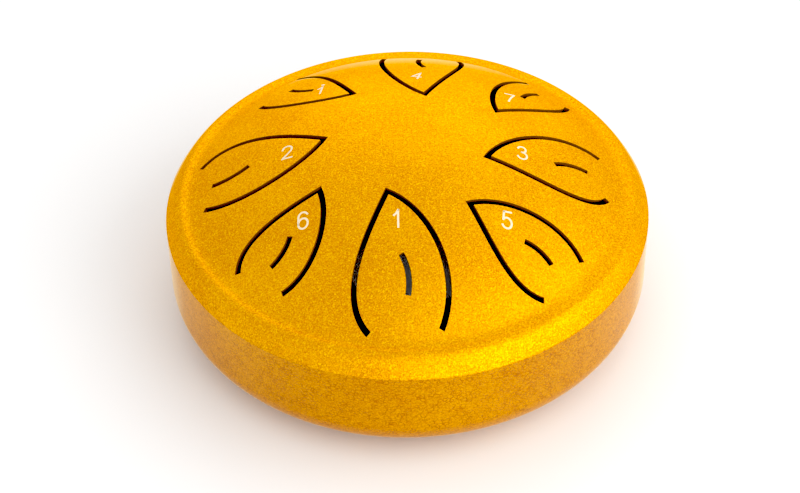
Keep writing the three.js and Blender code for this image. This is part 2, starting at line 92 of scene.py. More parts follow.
bpy.ops.mesh.primitive_plane_add(size=FLOOR_SIZE, location=(0, 0, 0))
floor = bpy.context.object
floor.name = "studio_floor"
floor_material = bpy.data.materials.new("white_paper")
floor_material.use_nodes = True
floor_shader = floor_material.node_tree.nodes["Principled BSDF"]
floor_shader.inputs["Base Color"].default_value = PAPER_WHITE
floor_shader.inputs["Roughness"].default_value = 0.9
floor_shader.inputs["Specular IOR Level"].default_value = 0.1
floor.data.materials.append(floor_material)

room = bpy.data.worlds.new("white_room")
room.use_nodes = True
room.node_tree.nodes["Background"].inputs["Color"].default_value = (1, 1, 1, 1)
room.node_tree.nodes["Background"].inputs["Strength"].default_value = 0.9
bpy.context.scene.world = room


def add_softbox(name, place, size, watts):
    """Hangs a rectangular lamp at its place and turns it to the drum."""
    lamp = bpy.data.lights.new(name, "AREA")
    lamp.shape = "RECTANGLE"
    lamp.size, lamp.size_y = size
    lamp.energy = watts
    holder = bpy.data.objects.new(name, lamp)
    holder.location = place
    holder.rotation_euler = (LIGHT_AIM - Vector(place)).to_track_quat("-Z", "Y").to_euler()
    bpy.context.scene.collection.objects.link(holder)


add_softbox("softbox_right", place=(0.98, -0.38, 0.66), size=(1.5, 1.2), watts=7.4)
add_softbox("softbox_rear", place=(0.1, 1.25, 0.62), size=(1.3, 0.7), watts=4)
add_softbox("softbox_front", place=(0.55, -1.05, 0.36), size=(1.3, 0.5), watts=5)


# Golden lacquer
# The steel is coated with a golden-yellow metallic lacquer that dries into a fine leather grain:
# small rounded cells between thin creases, with flakes that make its colour swim a little. Its clear
# top coat lies thickest on the walls. Light and shade are also painted into its colour: painted shade on
# the walls and in the creases, painted glints on the flakes, and a painted reflection that pales it where
# it is seen edge-on.

DEEP_GOLD = (0.68, 0.26, 0.0008, 1)
BRIGHT_GOLD = (0.96, 0.52, 0.0016, 1)
WALL_PAINTED_SHADE = (0.84, 0.81, 1.0, 1)
CREASE_PAINTED_SHADE = (0.42, 0.13, 0.0005, 1)
FLAKE_PAINTED_GLINT = (1.0, 0.66, 0.012, 1)
EDGE_ON_PAINTED_REFLECTION = (1.0, 0.84, 0.6, 1)
CELLS_PER_METRE = 640.0
CELL_WANDER = 0.0009
CELL_STRETCH = (1, 1, 1.5)
CELL_SLOPE = 0.16
CREASE_SLOPE = 0.15
FINE_CELLS_PER_CELL = 2.7
FINE_CELL_SLOPE = 0.3
FINE_CELL_HEIGHT = 0.22
SWELL_SPAN = (0.36, 0.6)
SWELL_HEIGHT = 0.35
SPECKLE_HEIGHT = 0.6
PATCH_SHARE = 0.2
SPECKLE_SHARE = 0.8
SWIM_SPAN = (0.31, 0.69)
GLINT_SPAN = (0.86, 0.98)
PAINTED_REFLECTION_SPAN = (0.78, 1.0)

# The upward part of the normal over which the looks of the wall turn into those of the top.
WALL_SHADE_TO_TOP = (0.05, 0.4)
WALL_TO_CROWN = (0.0, 0.8)
WALL_TO_GLINT = (0.0, 0.4)
WALL_TO_BARE = (0.05, 0.5)


def new_group(name, inputs, outputs):
    """A node group with the named inputs and outputs, and its two end nodes."""
    tree = bpy.data.node_groups.new(name, "ShaderNodeTree")
    for label, kind, value in inputs:
        socket = tree.interface.new_socket(label, in_out="INPUT", socket_type=kind)
        if value is not None:
            socket.default_value = value
    for label, kind in outputs:
        tree.interface.new_socket(label, in_out="OUTPUT", socket_type=kind)
    return tree, tree.nodes.new("NodeGroupInput"), tree.nodes.new("NodeGroupOutput")


def new_finish(name):
    """A new material, with its node tree, its shader and its texture coordinates."""
    finish = bpy.data.materials.new(name)
    finish.use_nodes = True
    tree = finish.node_tree
    return finish, tree, tree.nodes["Principled BSDF"], add_node(tree, "ShaderNodeTexCoord")


def add_node(tree, kind, settings=None, **values):
    """A node with its settings and inputs, which are links or values. s0 is the first input."""
    node = tree.nodes.new(kind)
    for key, value in (settings or {}).items():
        setattr(node, key, value)
    for key, value in values.items():
        socket = node.inputs[int(key[1:])] if key[1:].isdigit() else node.inputs[key.replace("_", " ")]
        if isinstance(value, bpy.types.NodeSocket):
            tree.links.new(value, socket)
        else:
            socket.default_value = value
    return node


def maths(tree, operation, first, second=0.0, third=0.0):
    """One sum of numbers."""
    node = add_node(tree, "ShaderNodeMath", {"operation": operation}, s0=first, s1=second, s2=third)
    return node.outputs[0]


def vector_maths(tree, operation, first, second):
    """One sum of vectors."""
    node = add_node(tree, "ShaderNodeVectorMath", {"operation": operation}, s0=first, s1=second)
    return node.outputs[0]


def remap(tree, value, low, high, to_low=0.0, to_high=1.0):
    """Eases from one value to another while the input goes from low to high."""
    node = add_node(tree, "ShaderNodeMapRange", {"interpolation_type": "SMOOTHSTEP"},
                    s0=value, s1=low, s2=high, s3=to_low, s4=to_high)
    return node.outputs[0]


def noise(tree, place, scale, detail, roughness=0.5):
    """A soft random pattern from 0 to 1."""
    node = add_node(tree, "ShaderNodeTexNoise", Vector=place, Scale=scale, Detail=detail,
                    Roughness=roughness)
    return node.outputs["Fac"]


def cell_edges(tree, place, scale):
    """How far a point is from the edge of its cell."""
    node = add_node(tree, "ShaderNodeTexVoronoi", {"feature": "DISTANCE_TO_EDGE"},
                    Vector=place, Scale=scale)
    return node.outputs["Distance"]


def mix_colours(tree, share, first, second, blend="MIX"):
    """The first colour, and as much of the second as the share says."""
    node = add_node(tree, "ShaderNodeMix", {"data_type": "RGBA", "blend_type": blend},
                    s0=share, s6=first, s7=second)
    return node.outputs[2]


def raise_relief(tree, shader, height, strength, distance):
    """Lets a pattern stand up from the surface by up to the distance."""
    bump = add_node(tree, "ShaderNodeBump", Strength=strength, Distance=distance, Height=height)
    tree.links.new(bump.outputs["Normal"], shader.inputs["Normal"])


grain, grain_in, grain_out = new_group(
    "leather_grain",
    [("Position", "NodeSocketVector", None), ("Cells per metre", "NodeSocketFloat", CELLS_PER_METRE),
     ("Wander", "NodeSocketFloat", CELL_WANDER), ("Cell depth", "NodeSocketFloat", 1.0)],
    [("Height", "NodeSocketFloat"), ("Crease", "NodeSocketFloat"), ("Mottle", "NodeSocketFloat"),
     ("Speckle", "NodeSocketFloat")])
position = grain_in.outputs["Position"]
cells_per_metre = grain_in.outputs["Cells per metre"]
wander_noise = add_node(grain, "ShaderNodeTexNoise", Vector=position, Scale=900.0, Detail=3.0)
wander = vector_maths(grain, "SUBTRACT", wander_noise.outputs["Color"], (0.5, 0.5, 0.5))
wander_scaled = add_node(grain, "ShaderNodeVectorMath", {"operation": "SCALE"},
                         s0=wander, s3=grain_in.outputs["Wander"])
stretched = vector_maths(grain, "MULTIPLY", position, CELL_STRETCH)
wandered = vector_maths(grain, "ADD", stretched, wander_scaled.outputs[0])
cells = cell_edges(grain, wandered, cells_per_metre)
fine_cells = cell_edges(grain, wandered, maths(grain, "MULTIPLY", cells_per_metre, FINE_CELLS_PER_CELL))
swell = noise(grain, position, scale=360.0, detail=3.0)
speckle = noise(grain, position, scale=2100.0, detail=2.0, roughness=0.65)
presence = remap(grain, swell, *SWELL_SPAN, to_low=0.25)
dome_of_cell = remap(grain, cells, 0.0, CELL_SLOPE)
dome_of_fine = remap(grain, fine_cells, 0.0, FINE_CELL_SLOPE)
cell_depth = maths(grain, "MULTIPLY", presence, grain_in.outputs["Cell depth"])
height = maths(grain, "MULTIPLY", dome_of_cell, cell_depth)
height = maths(grain, "MULTIPLY_ADD", dome_of_fine, FINE_CELL_HEIGHT, height)
height = maths(grain, "MULTIPLY_ADD", swell, SWELL_HEIGHT, height)
height = maths(grain, "MULTIPLY_ADD", speckle, SPECKLE_HEIGHT, height)
crease = remap(grain, cells, 0.0, CREASE_SLOPE, to_low=1.0, to_high=0.0)
crease = maths(grain, "MULTIPLY", crease, presence)
grain.links.new(height, grain_out.inputs["Height"])
grain.links.new(crease, grain_out.inputs["Crease"])
grain.links.new(swell, grain_out.inputs["Mottle"])
grain.links.new(speckle, grain_out.inputs["Speckle"])

lacquer, tree, shader, coordinates = new_finish("golden_lacquer")
place = coordinates.outputs["Object"]
facing_up = add_node(tree, "ShaderNodeSeparateXYZ", s0=coordinates.outputs["Normal"]).outputs[2]
cell_depth = remap(tree, facing_up, *WALL_TO_CROWN, to_low=0.85, to_high=0.3)
grain_node = add_node(tree, "ShaderNodeGroup", {"node_tree": grain}, Position=place, Cell_depth=cell_depth)
flakes = add_node(tree, "ShaderNodeTexVoronoi", {"feature": "F1"}, Vector=place, Scale=2600.0)
flake_tone = add_node(tree, "ShaderNodeSeparateColor", s0=flakes.outputs["Color"]).outputs[0]
patches = noise(tree, place, scale=38.0, detail=3.0)
swim = maths(tree, "MULTIPLY", grain_node.outputs["Speckle"], SPECKLE_SHARE)
swim = maths(tree, "MULTIPLY_ADD", patches, PATCH_SHARE, swim)
top_colour = mix_colours(tree, remap(tree, swim, *SWIM_SPAN), DEEP_GOLD, BRIGHT_GOLD)
# Painted shade on the walls: their colour is multiplied darker and more orange, fading out towards the
# top.
shaded_wall_colour = mix_colours(tree, 1.0, top_colour, WALL_PAINTED_SHADE, blend="MULTIPLY")
colour = mix_colours(tree, remap(tree, facing_up, *WALL_SHADE_TO_TOP), shaded_wall_colour, top_colour)
# Painted shade in the grain's creases: they are coloured dark brown, strongly on the walls and faintly on
# the top.
crease_shade_share = remap(tree, facing_up, *WALL_TO_CROWN, to_low=0.76, to_high=0.12)
crease_shade_share = maths(tree, "MULTIPLY", grain_node.outputs["Crease"], crease_shade_share)
colour = mix_colours(tree, crease_shade_share, colour, CREASE_PAINTED_SHADE)
# The flakes are real, but the brightest of them are coloured paler gold as painted glints, fully on the
# top and a quarter as much on the walls.
flake_glint = remap(tree, facing_up, *WALL_TO_GLINT, to_low=0.25)
flake_glint = maths(tree, "MULTIPLY", remap(tree, flake_tone, *GLINT_SPAN, to_high=0.7), flake_glint)
colour = mix_colours(tree, flake_glint, colour, FLAKE_PAINTED_GLINT)
# Painted reflection: where the lacquer is seen edge-on, its colour is mixed towards a pale cream that
# stands for the bright room it reflects.
edge_on = add_node(tree, "ShaderNodeLayerWeight", Blend=0.5).outputs["Facing"]
colour = mix_colours(tree, remap(tree, edge_on, *PAINTED_REFLECTION_SPAN, to_high=0.75), colour, EDGE_ON_PAINTED_REFLECTION)
tree.links.new(colour, shader.inputs["Base Color"])
flake_gloss = remap(tree, flake_tone, 0.0, 1.0, to_low=0.44, to_high=0.6)
tree.links.new(flake_gloss, shader.inputs["Roughness"])
shader.inputs["Metallic"].default_value = 1.0
shader.inputs["Specular Tint"].default_value = (1.0, 0.75, 0.25, 1)
clear_coat = remap(tree, facing_up, *WALL_TO_BARE, to_low=1.0, to_high=0.0)
tree.links.new(clear_coat, shader.inputs["Coat Weight"])
shader.inputs["Coat Roughness"].default_value = 0.3
shader.inputs["Coat IOR"].default_value = 1.3
raise_relief(tree, shader, grain_node.outputs["Height"], strength=0.6, distance=0.00018)


# Inside of the shells
# Inside the drum the steel is coloured near black, as painted shade, and the narrow walls of the saw
# cuts are coloured dark brown, as painted shade.

INSIDE_SHADE_TONES = (0.002, 0.0018, 0.0016, 1), (0.008, 0.006, 0.005, 1)
CUT_WALL_SHADE_TONES = (0.17, 0.065, 0.004, 1), (0.3, 0.12, 0.007, 1)
DULL = 0.12


def mottled_finish(name, scale, detail, tones, roughness, relief, spread=(0.3, 0.7), contrast=None,
                   fine=None):
    """A finish whose tone, roughness and height follow one pattern, or its height a finer one."""
    finish, tree, shader, coordinates = new_finish(name)
    place = coordinates.outputs["Object"]
    pattern = noise(tree, place, scale, detail)
    share = remap(tree, pattern, *contrast) if contrast else pattern
    tree.links.new(mix_colours(tree, share, *tones), shader.inputs["Base Color"])
    tree.links.new(remap(tree, pattern, *spread, *roughness), shader.inputs["Roughness"])
    raise_relief(tree, shader, noise(tree, place, *fine) if fine else pattern, *relief)
    return finish, shader


inside_shade_finish, shader = mottled_finish("inside_painted_shade", scale=240.0, detail=4.0, tones=INSIDE_SHADE_TONES,
                                roughness=(0.6, 0.85), relief=(0.2, 0.0001))
shader.inputs["Specular IOR Level"].default_value = DULL
# Dark brown painted shade for the walls of the saw cuts.
cut_wall_shade, shader = mottled_finish("painted_shade_in_the_cuts", scale=900.0, detail=3.0,
                                  tones=CUT_WALL_SHADE_TONES, roughness=(0.5, 0.65),
                                  relief=(0.3, 0.00008))
shader.inputs["Specular IOR Level"].default_value = DULL


# Top shell
# A steel disc pressed to a tall dome with a groove and a rounded shoulder round it. The eight
# tongues are sawn in the dome, and the rim is bent down into a skirt that slips inside the pan.

MM = 0.001
SHEET = 0.0012
DRUM_RADIUS = 0.0775
CREASE = 0.0364
DOME_RADIUS = 0.0685
DOME_RISE = 0.0223
DOME_FULLNESS = 0.05
DOME_EDGE_LIFT = 0.0007
GROOVE_LEVEL = 0.0424
GROOVE_FILLET = 0.0016
RING_START = 0.0695
RING_WIDTH = 0.0021
RING_RISE = 0.0001
SHOULDER_WIDTH = 0.0059
SHOULDER_RISE = 0.0062
SHOULDER_FULLNESS = ((0, 1), (0.42, 1), (0.72, 0.5), (1, 0))
CREASE_TURN = ((0.00006, 0.00016), (0, -0.00002))
LIP_DEPTH = 0.000695
SKIRT_GAP = 0.0003
SKIRT_DEPTH = 0.0054
CORNER = 0.0002
UNDER_REACH = 0.0022
SAW_CUT = 0.0018
CUT_ROUNDING = 0.00022
ROOT_DISTANCE = 0.0646

RIM_SEGMENTS = 240
RING_STEPS = 10
SHOULDER_STEPS = 24
UNDER_STEPS = 12
SHELL_MESH = 0.0018
CUT_STEPS = 200
CUT_SPACING = 0.0004
CUT_LEAD = 0.004
SLOT_STEPS = 60
SLOT_SPACING = 0.0006
EDGE_SPACING = 0.0007
ROOT_SPACING = 0.0009
RIM_BAND = 0.998
RIM_WALL = 0.9995
WITHIN_SHEET = SHEET * 0.9
SHARP_BEND = 1
OUTSIDE, INSIDE, IN_CUT = 0, 1, 2

# How far a face's normal leans a way when it counts as facing it.
FACING = 0.3
UNDER_SIDE = -0.6


def top_height(radius):
    """The height of the outside over a radius: the dome, the ring round it and a fillet between."""
    share = (radius / DOME_RADIUS) ** 2
    dome = GROOVE_LEVEL + DOME_EDGE_LIFT + DOME_RISE * (1 - share) * (1 + DOME_FULLNESS * share)
    rise = min(1, max(0, (radius - RING_START) / RING_WIDTH))
    ring = GROOVE_LEVEL + RING_RISE + RING_RISE * rise * rise * (3 - 2 * rise)
    reach = max(0, 1 - abs(dome - ring) / GROOVE_FILLET)
    return max(dome, ring) + GROOVE_FILLET * reach ** 2 / 4


def top_normal(radius):
    """The outside's normal as (outward, up)."""
    step = 0.00005
    slope = (top_height(max(0, radius - step)) - top_height(radius + step)) / (2 * step)
    return Vector((slope, 1)).normalized()


def on_dome(co):
    """Lays a point of the flat sheet on the dome: its depth below z = 0 goes in along the normal."""
    radius = math.hypot(co.x, co.y)
    normal = top_normal(radius)
    on_axis = 1e-7
    if radius < on_axis:
        return Vector((0, 0, top_height(0) + co.z))
    outward = radius + normal.x * co.z
    return Vector((co.x / radius * outward, co.y / radius * outward, top_height(radius) + normal.y * co.z))


# Millimetres and degrees. ends: how far the clockwise cut and the other run past the common root
# distance. slot: its start, from the axis and off the middle line, and its share of the length.
TONGUES = {
    "low_1": dict(azimuth=-91, length=41.7, lean=5.7, belly=29.4, root=21.8, ends=(1.6, 0.4),
                  slot=(44.1, -1.3, 0.29), numeral=(32.8, -2.4), digit="1", tilt=0),
    "2": dict(azimuth=180.3, length=38.8, lean=3.4, belly=28.5, root=21.4, ends=(1.7, -0.5),
              slot=(50.0, -0.7, 0.31), numeral=(37.6, -1.0), digit="2", tilt=0),
    "3": dict(azimuth=-0.3, length=39.4, lean=6.5, belly=26.4, root=18.7, ends=(-1.3, -2.7),
              slot=(46.8, -2.4, 0.27), numeral=(36.5, -1.5), digit="3", tilt=0),
    "4": dict(azimuth=85.2, length=39.6, lean=4.2, belly=24.4, root=25.3, ends=(1.8, 1.8),
              slot=(50.0, -2.2, 0.33), numeral=(39.9, -0.5), digit="4", tilt=-12),
    "5": dict(azimuth=-43.8, length=32.6, lean=5.8, belly=23.6, root=19.6, ends=(1.5, -0.2),
              slot=(50.8, -1.5, 0.29), numeral=(43.0, -0.8), digit="5", tilt=0),
    "6": dict(azimuth=-134.9, length=32.1, lean=5.8, belly=22.4, root=17.3, ends=(0.5, -1.8),
              slot=(49.0, -1.9, 0.31), numeral=(43.1, -2.1), digit="6", tilt=0),
    "7": dict(azimuth=42.9, length=30.5, lean=6.3, belly=20.0, root=18.2, ends=(0.2, 0.0),
              slot=(50.5, -2.0, 0.31), numeral=(45.4, -1.2), digit="7", tilt=0),
    "high_1": dict(azimuth=132.3, length=32.7, lean=6.1, belly=21.7, root=21.9, ends=(1.9, -5.4),
                   slot=(47.8, -2.5, 0.3), numeral=(44.8, -3.2), digit="1", tilt=-8),
}

# The clockwise cut and the other: its share of the belly, then its two handles, each as a share of
# the length and one of the belly. The slot's handles are shares of its own length.
CUT_BENDS = {-1: (0.545, 0.41, 0.65, 0.8, 1.3), 1: (0.455, 0.16, 0.67, 0.64, 1.33)}
SLOT_BEND = ((0.45, 0.27), (1, 0.18))


def bezier(points, share):
    """The point at a share of the curve that the handles give."""
    while len(points) > 1:
        points = [a.lerp(b, share) for a, b in zip(points, points[1:])]
    return points[0]


def evenly(points, spacing):
    """The same line with its points a given distance apart."""
    lengths = [0]
    for a, b in zip(points, points[1:]):
        lengths.append(lengths[-1] + (b - a).length)
    count = max(2, round(lengths[-1] / spacing))
    line, i = [], 0
    for k in range(count + 1):
        goal = lengths[-1] * k / count
        while i < len(points) - 2 and lengths[i + 1] < goal:
            i += 1
        span = lengths[i + 1] - lengths[i]
        line.append(points[i].lerp(points[i + 1], (goal - lengths[i]) / span))
    return line


def beside(points, distance):
    """The line that runs a distance to the left of this one."""
    line = []
    for i, point in enumerate(points):
        along = (points[min(i + 1, len(points) - 1)] - points[max(i - 1, 0)]).normalized()
        line.append(point + Vector((-along.y, along.x)) * distance)
    return line


def crossing(first, second):
    """Where two lines that start near each other cross: the point, and what of each lies beyond."""
    parallel = 1e-14
    for i in range(len(first) - 1):
        for j in range(len(second) - 1):
            a, b, c, d = first[i], first[i + 1], second[j], second[j + 1]
            u, v, w = b - a, d - c, c - a
            bottom = u.x * v.y - u.y * v.x
            if abs(bottom) < parallel:
                continue
            s = (w.x * v.y - w.y * v.x) / bottom
            t = (w.x * u.y - w.y * u.x) / bottom
            if 0 <= s <= 1 and 0 <= t <= 1:
                return a + u * s, first[i + 1:], second[j + 1:]
    raise ValueError("the two edges of a tongue don't meet at its tip")


def tongue_lines(tongue):
    """The cut edges of one tongue in plan: inner and outer lines from tip to root, and its slot."""
    length, lean = tongue["length"] * MM, tongue["lean"] * MM
    tip = Vector((ROOT_DISTANCE - length, -lean))
    lines = {}
    for (turn, bend), past_root in zip(CUT_BENDS.items(), tongue["ends"]):
        belly_share, near, near_out, far, far_out = bend
        belly = tongue["belly"] * MM * belly_share
        handles = [tip,
                   Vector((tip.x + near * length, tip.y + turn * near_out * (belly + turn * lean))),
                   Vector((tip.x + far * length, turn * far_out * belly)),
                   Vector((ROOT_DISTANCE + past_root * MM, turn * tongue["root"] * MM / 2))]
        lines[turn] = evenly([bezier(handles, k / CUT_STEPS) for k in range(CUT_STEPS + 1)], CUT_SPACING)
    half = SAW_CUT / 2
    led_in = {turn: [line[0] + (line[0] - line[1]).normalized() * CUT_LEAD] + line
              for turn, line in lines.items()}
    outer = crossing(beside(led_in[-1], -half), beside(led_in[1], half))
    inner = crossing(beside(lines[-1], half), beside(lines[1], -half))
    start, aside, slot_share = tongue["slot"]
    slot_start = Vector((start, aside)) * MM
    slot_length = slot_share * length
    handles = [slot_start] + [slot_start + Vector(handle) * slot_length for handle in SLOT_BEND]
    middle = evenly([bezier(handles, k / SLOT_STEPS) for k in range(SLOT_STEPS + 1)], SLOT_SPACING)
    slot = beside(middle, half) + beside(middle, -half)[::-1]
    turned = Matrix.Rotation(math.radians(tongue["azimuth"]), 2)

    def placed(points):
        return [turned @ point for point in points]

    def sides(cut):
        corner, *edges = cut
        return [placed(evenly([corner] + edge, EDGE_SPACING)) for edge in edges]

    inner_sides = sides(inner)
    root = evenly([side[-1] for side in inner_sides], ROOT_SPACING)
    return dict(outer=sides(outer), inner=inner_sides, root=root, slot=placed(slot))


def add_loop(bm, points):
    """Closes a line of points and gives its edges."""
    corners = [bm.verts.new((point.x, point.y, 0)) for point in points]
    return [bm.edges.new((corners[i - 1], corners[i])) for i in range(len(corners))]


def fill_flat(bm, edges, spacing):
    """Fills flat outlines with even triangles about as long as the spacing."""
    longest, most_rounds = spacing * 1.35, 9
    bmesh.ops.triangle_fill(bm, use_beauty=True, use_dissolve=False, edges=edges, normal=(0, 0, 1))
    rims = {edge for edge in bm.edges if edge.is_boundary}
    for _ in range(most_rounds):
        long_edges = [e for e in bm.edges if e not in rims and e.calc_length() > longest]
        if not long_edges:
            break
        bmesh.ops.subdivide_edges(bm, edges=long_edges, cuts=1)
        bmesh.ops.triangulate(bm, faces=[f for f in bm.faces if len(f.verts) > 3])
        bmesh.ops.beautify_fill(bm, faces=bm.faces[:], edges=[e for e in bm.edges if not e.is_boundary],
                                method="ANGLE")
        rims = {edge for edge in bm.edges if edge.is_boundary}
        inside = [v for v in bm.verts if not v.is_boundary]
        bmesh.ops.smooth_vert(bm, verts=inside, factor=0.4, use_axis_x=True, use_axis_y=True)
    bmesh.ops.recalc_face_normals(bm, faces=bm.faces[:])
    if sum(face.normal.z for face in bm.faces) < 0:
        bmesh.ops.reverse_faces(bm, faces=bm.faces[:])


def thicken_flat(bm, thickness):
    """Gives a flat filled outline its thickness downwards."""
    made = bmesh.ops.extrude_face_region(bm, geom=bm.faces[:])
    lifted = [g for g in made["geom"] if isinstance(g, bmesh.types.BMVert)]
    bmesh.ops.translate(bm, vec=(0, 0, thickness), verts=lifted)
    bmesh.ops.translate(bm, vec=(0, 0, -thickness), verts=bm.verts[:])
    bmesh.ops.recalc_face_normals(bm, faces=bm.faces[:])


def paint_inside_shade(bm):
    """Gives the under side of a flat sheet the near-black painted shade and the walls of its cuts the dark
    brown painted shade.
    """
    bm.normal_update()
    for face in bm.faces:
        up = face.normal.z
        face.material_index = INSIDE if up < UNDER_SIDE else IN_CUT if up < FACING else OUTSIDE


def near_line(point, line, reach=2e-5):
    """Whether a point of the sheet lies on a straight line in plan."""
    a, b = line[0], line[-1]
    along = (b - a).normalized()
    offset = Vector((point.x, point.y)) - a
    aside = abs(offset.x * along.y - offset.y * along.x)
    return -reach <= offset.dot(along) <= (b - a).length + reach and aside < reach


def round_rims(bm, width, roots, outside=None):
    """Rounds the upper edges of the cuts, but not the root lines or the sheet's outer edge."""
    below = -1e-6
    rims = []
    for edge in bm.edges:
        a, b = edge.verts[0].co, edge.verts[1].co
        if a.z < below or b.z < below or len(edge.link_faces) != 2 or edge.calc_face_angle() < SHARP_BEND:
            continue
        if outside and math.hypot(a.x, a.y) > outside:
            continue
        if any(near_line(a, root) and near_line(b, root) for root in roots):
            continue
        rims.append(edge)
    bmesh.ops.bevel(bm, geom=rims, offset=width, offset_type="OFFSET", segments=3, profile=0.5,
                    affect="EDGES", clamp_overlap=True, material=-1)


def keep_piece(name, bm, materials, node, sharp=35):
    """Makes the finished mesh an object and hides the CAD node it stands for."""
    mesh = bpy.data.meshes.new(name)
    bm.to_mesh(mesh)
    bm.free()
    for material in materials:
        mesh.materials.append(material)
    mesh.shade_smooth()
    mesh.set_sharp_from_angle(angle=math.radians(sharp))
    piece = bpy.data.objects.new(name, mesh)
    bpy.context.scene.collection.objects.link(piece)
    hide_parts(node)
    return piece


def spin_profile(bm, profile, segments, closed):
    """Turns a line of (radius, height) points round the drum's axis."""
    corners = [bm.verts.new((radius, 0, height)) for radius, height in profile]
    edges = [bm.edges.new(pair) for pair in zip(corners, corners[1:])]
    if closed:
        edges.append(bm.edges.new((corners[-1], corners[0])))
    before = set(bm.faces)
    bmesh.ops.spin(bm, geom=corners + edges, cent=(0, 0, 0), axis=(0, 0, 1), angle=2 * math.pi,
                   steps=segments, use_merge=True, use_duplicate=False)
    return [face for face in bm.faces if face not in before]


def arc(x, y, radius, start, end, steps):
    """Points of a round corner in a profile, from one angle to the other."""
    angles = [math.radians(start + (end - start) * k / steps) for k in range(steps + 1)]
    return [(x + radius * math.cos(a), y + radius * math.sin(a)) for a in angles]


cut_lines = {note: tongue_lines(tongue) for note, tongue in TONGUES.items()}

sheet = bmesh.new()
rim_angles = [2 * math.pi * k / RIM_SEGMENTS for k in range(RIM_SEGMENTS)]
outlines = add_loop(sheet, [Vector((DOME_RADIUS * math.cos(a), DOME_RADIUS * math.sin(a)))
                            for a in rim_angles])
for lines in cut_lines.values():
    clockwise, anticlockwise = lines["outer"]
    outlines += add_loop(sheet, clockwise + lines["root"] + anticlockwise[:0:-1])
fill_flat(sheet, outlines, SHELL_MESH)
thicken_flat(sheet, SHEET)
round_rims(sheet, CUT_ROUNDING, [lines["root"] for lines in cut_lines.values()],
           outside=DOME_RADIUS * RIM_BAND)
paint_inside_shade(sheet)
outer_walls = [face for face in sheet.faces
               if all(math.hypot(v.co.x, v.co.y) > DOME_RADIUS * RIM_WALL for v in face.verts)]
bmesh.ops.delete(sheet, geom=outer_walls, context="FACES_ONLY")
for vert in sheet.verts:
    vert.co = on_dome(vert.co)

crest = DRUM_RADIUS - SHOULDER_WIDTH
shoulder = [Vector((crest + SHOULDER_WIDTH * out, CREASE + SHOULDER_RISE * up))
            for out, up in SHOULDER_FULLNESS]
ring_radii = [DOME_RADIUS + (crest - DOME_RADIUS) * k / RING_STEPS for k in range(RING_STEPS)]
rim_outer = [(radius, top_height(radius)) for radius in ring_radii]
rim_outer += [tuple(bezier(shoulder, k / SHOULDER_STEPS)) for k in range(SHOULDER_STEPS)]
rim_outer += [(DRUM_RADIUS - inwards, CREASE + up) for inwards, up in CREASE_TURN]
rim_outer += [(DRUM_RADIUS, CREASE - LIP_DEPTH)]
skirt_radius = DRUM_RADIUS - SHEET - SKIRT_GAP
skirt_end = CREASE - SKIRT_DEPTH
rim_inner = [(skirt_radius, CREASE - LIP_DEPTH), (skirt_radius, skirt_end + CORNER),
             (skirt_radius - CORNER, skirt_end), (skirt_radius - SHEET + CORNER, skirt_end),
             (skirt_radius - SHEET, skirt_end + CORNER), (skirt_radius - SHEET, CREASE + SHEET)]
under_start = crest + UNDER_REACH
under = []
for k in range(UNDER_STEPS + 1):
    radius = under_start - (under_start - DOME_RADIUS) * k / UNDER_STEPS
    height = top_height(radius) if radius < crest else CREASE + SHOULDER_RISE
    normal = top_normal(min(radius, crest))
    under.append((radius - normal.x * SHEET, height - normal.y * SHEET))
spun = spin_profile(sheet, rim_outer + rim_inner + under, RIM_SEGMENTS, closed=False)
bmesh.ops.remove_doubles(sheet, verts=sheet.verts[:], dist=2e-5)
bmesh.ops.recalc_face_normals(sheet, faces=sheet.faces[:])
# Faces of the rim that face inwards or down, inside the sheet, get the near-black painted shade.
for face in spun:
    middle = face.calc_center_median()
    outward = Vector((middle.x, middle.y, 0)).normalized()
    inwards_or_down = face.normal.z < -FACING or face.normal.dot(outward) < -FACING
    if middle.xy.length < DRUM_RADIUS - WITHIN_SHEET and inwards_or_down:
        face.material_index = INSIDE
top_shell = keep_piece("pressed_top_shell", sheet, (lacquer, inside_shade_finish, cut_wall_shade), "top_shell")
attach(top_shell, "drum_body")


# Tongues
# Eight leaves of the same sheet, sawn free on both sides up to the root and slit once down the
# middle to tune them. At its root each is still one with the shell; a hinge point there is worked out but
# not used.

HINGE_DEPTH = SHEET * 0.6
LEAF_MESH = 0.0014

for note, lines in cut_lines.items():
    leaf = bmesh.new()
    clockwise, anticlockwise = lines["inner"]
    outlines = add_loop(leaf, clockwise + lines["root"][1:-1] + anticlockwise[:0:-1])
    outlines += add_loop(leaf, lines["slot"])
    fill_flat(leaf, outlines, LEAF_MESH)
    thicken_flat(leaf, SHEET)
    round_rims(leaf, CUT_ROUNDING, [lines["root"]])
    paint_inside_shade(leaf)
    for vert in leaf.verts:
        vert.co = on_dome(vert.co)
    tongue = keep_piece(f"sawn_tongue_{note}", leaf, (lacquer, inside_shade_finish, cut_wall_shade),
                        f"tongue_{note}")
    root_start, root_end = lines["root"][0], lines["root"][-1]
    hinge = (root_start + root_end) / 2
    hinge = Vector((hinge.x, hinge.y, top_height(hinge.length) - HINGE_DEPTH))
    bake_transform(tongue)


# Numerals
# Each tongue carries its plain number, printed in warm white enamel just in from its tip, all of
# them upright as seen from the front. The highest tongue has a 1 again with an octave dot over it.

ENAMEL_WHITE = (0.84, 0.72, 0.52, 1)
THIN_ENAMEL = (0.88, 0.54, 0.17, 1)
THIN_OVER_CREASES = 0.22

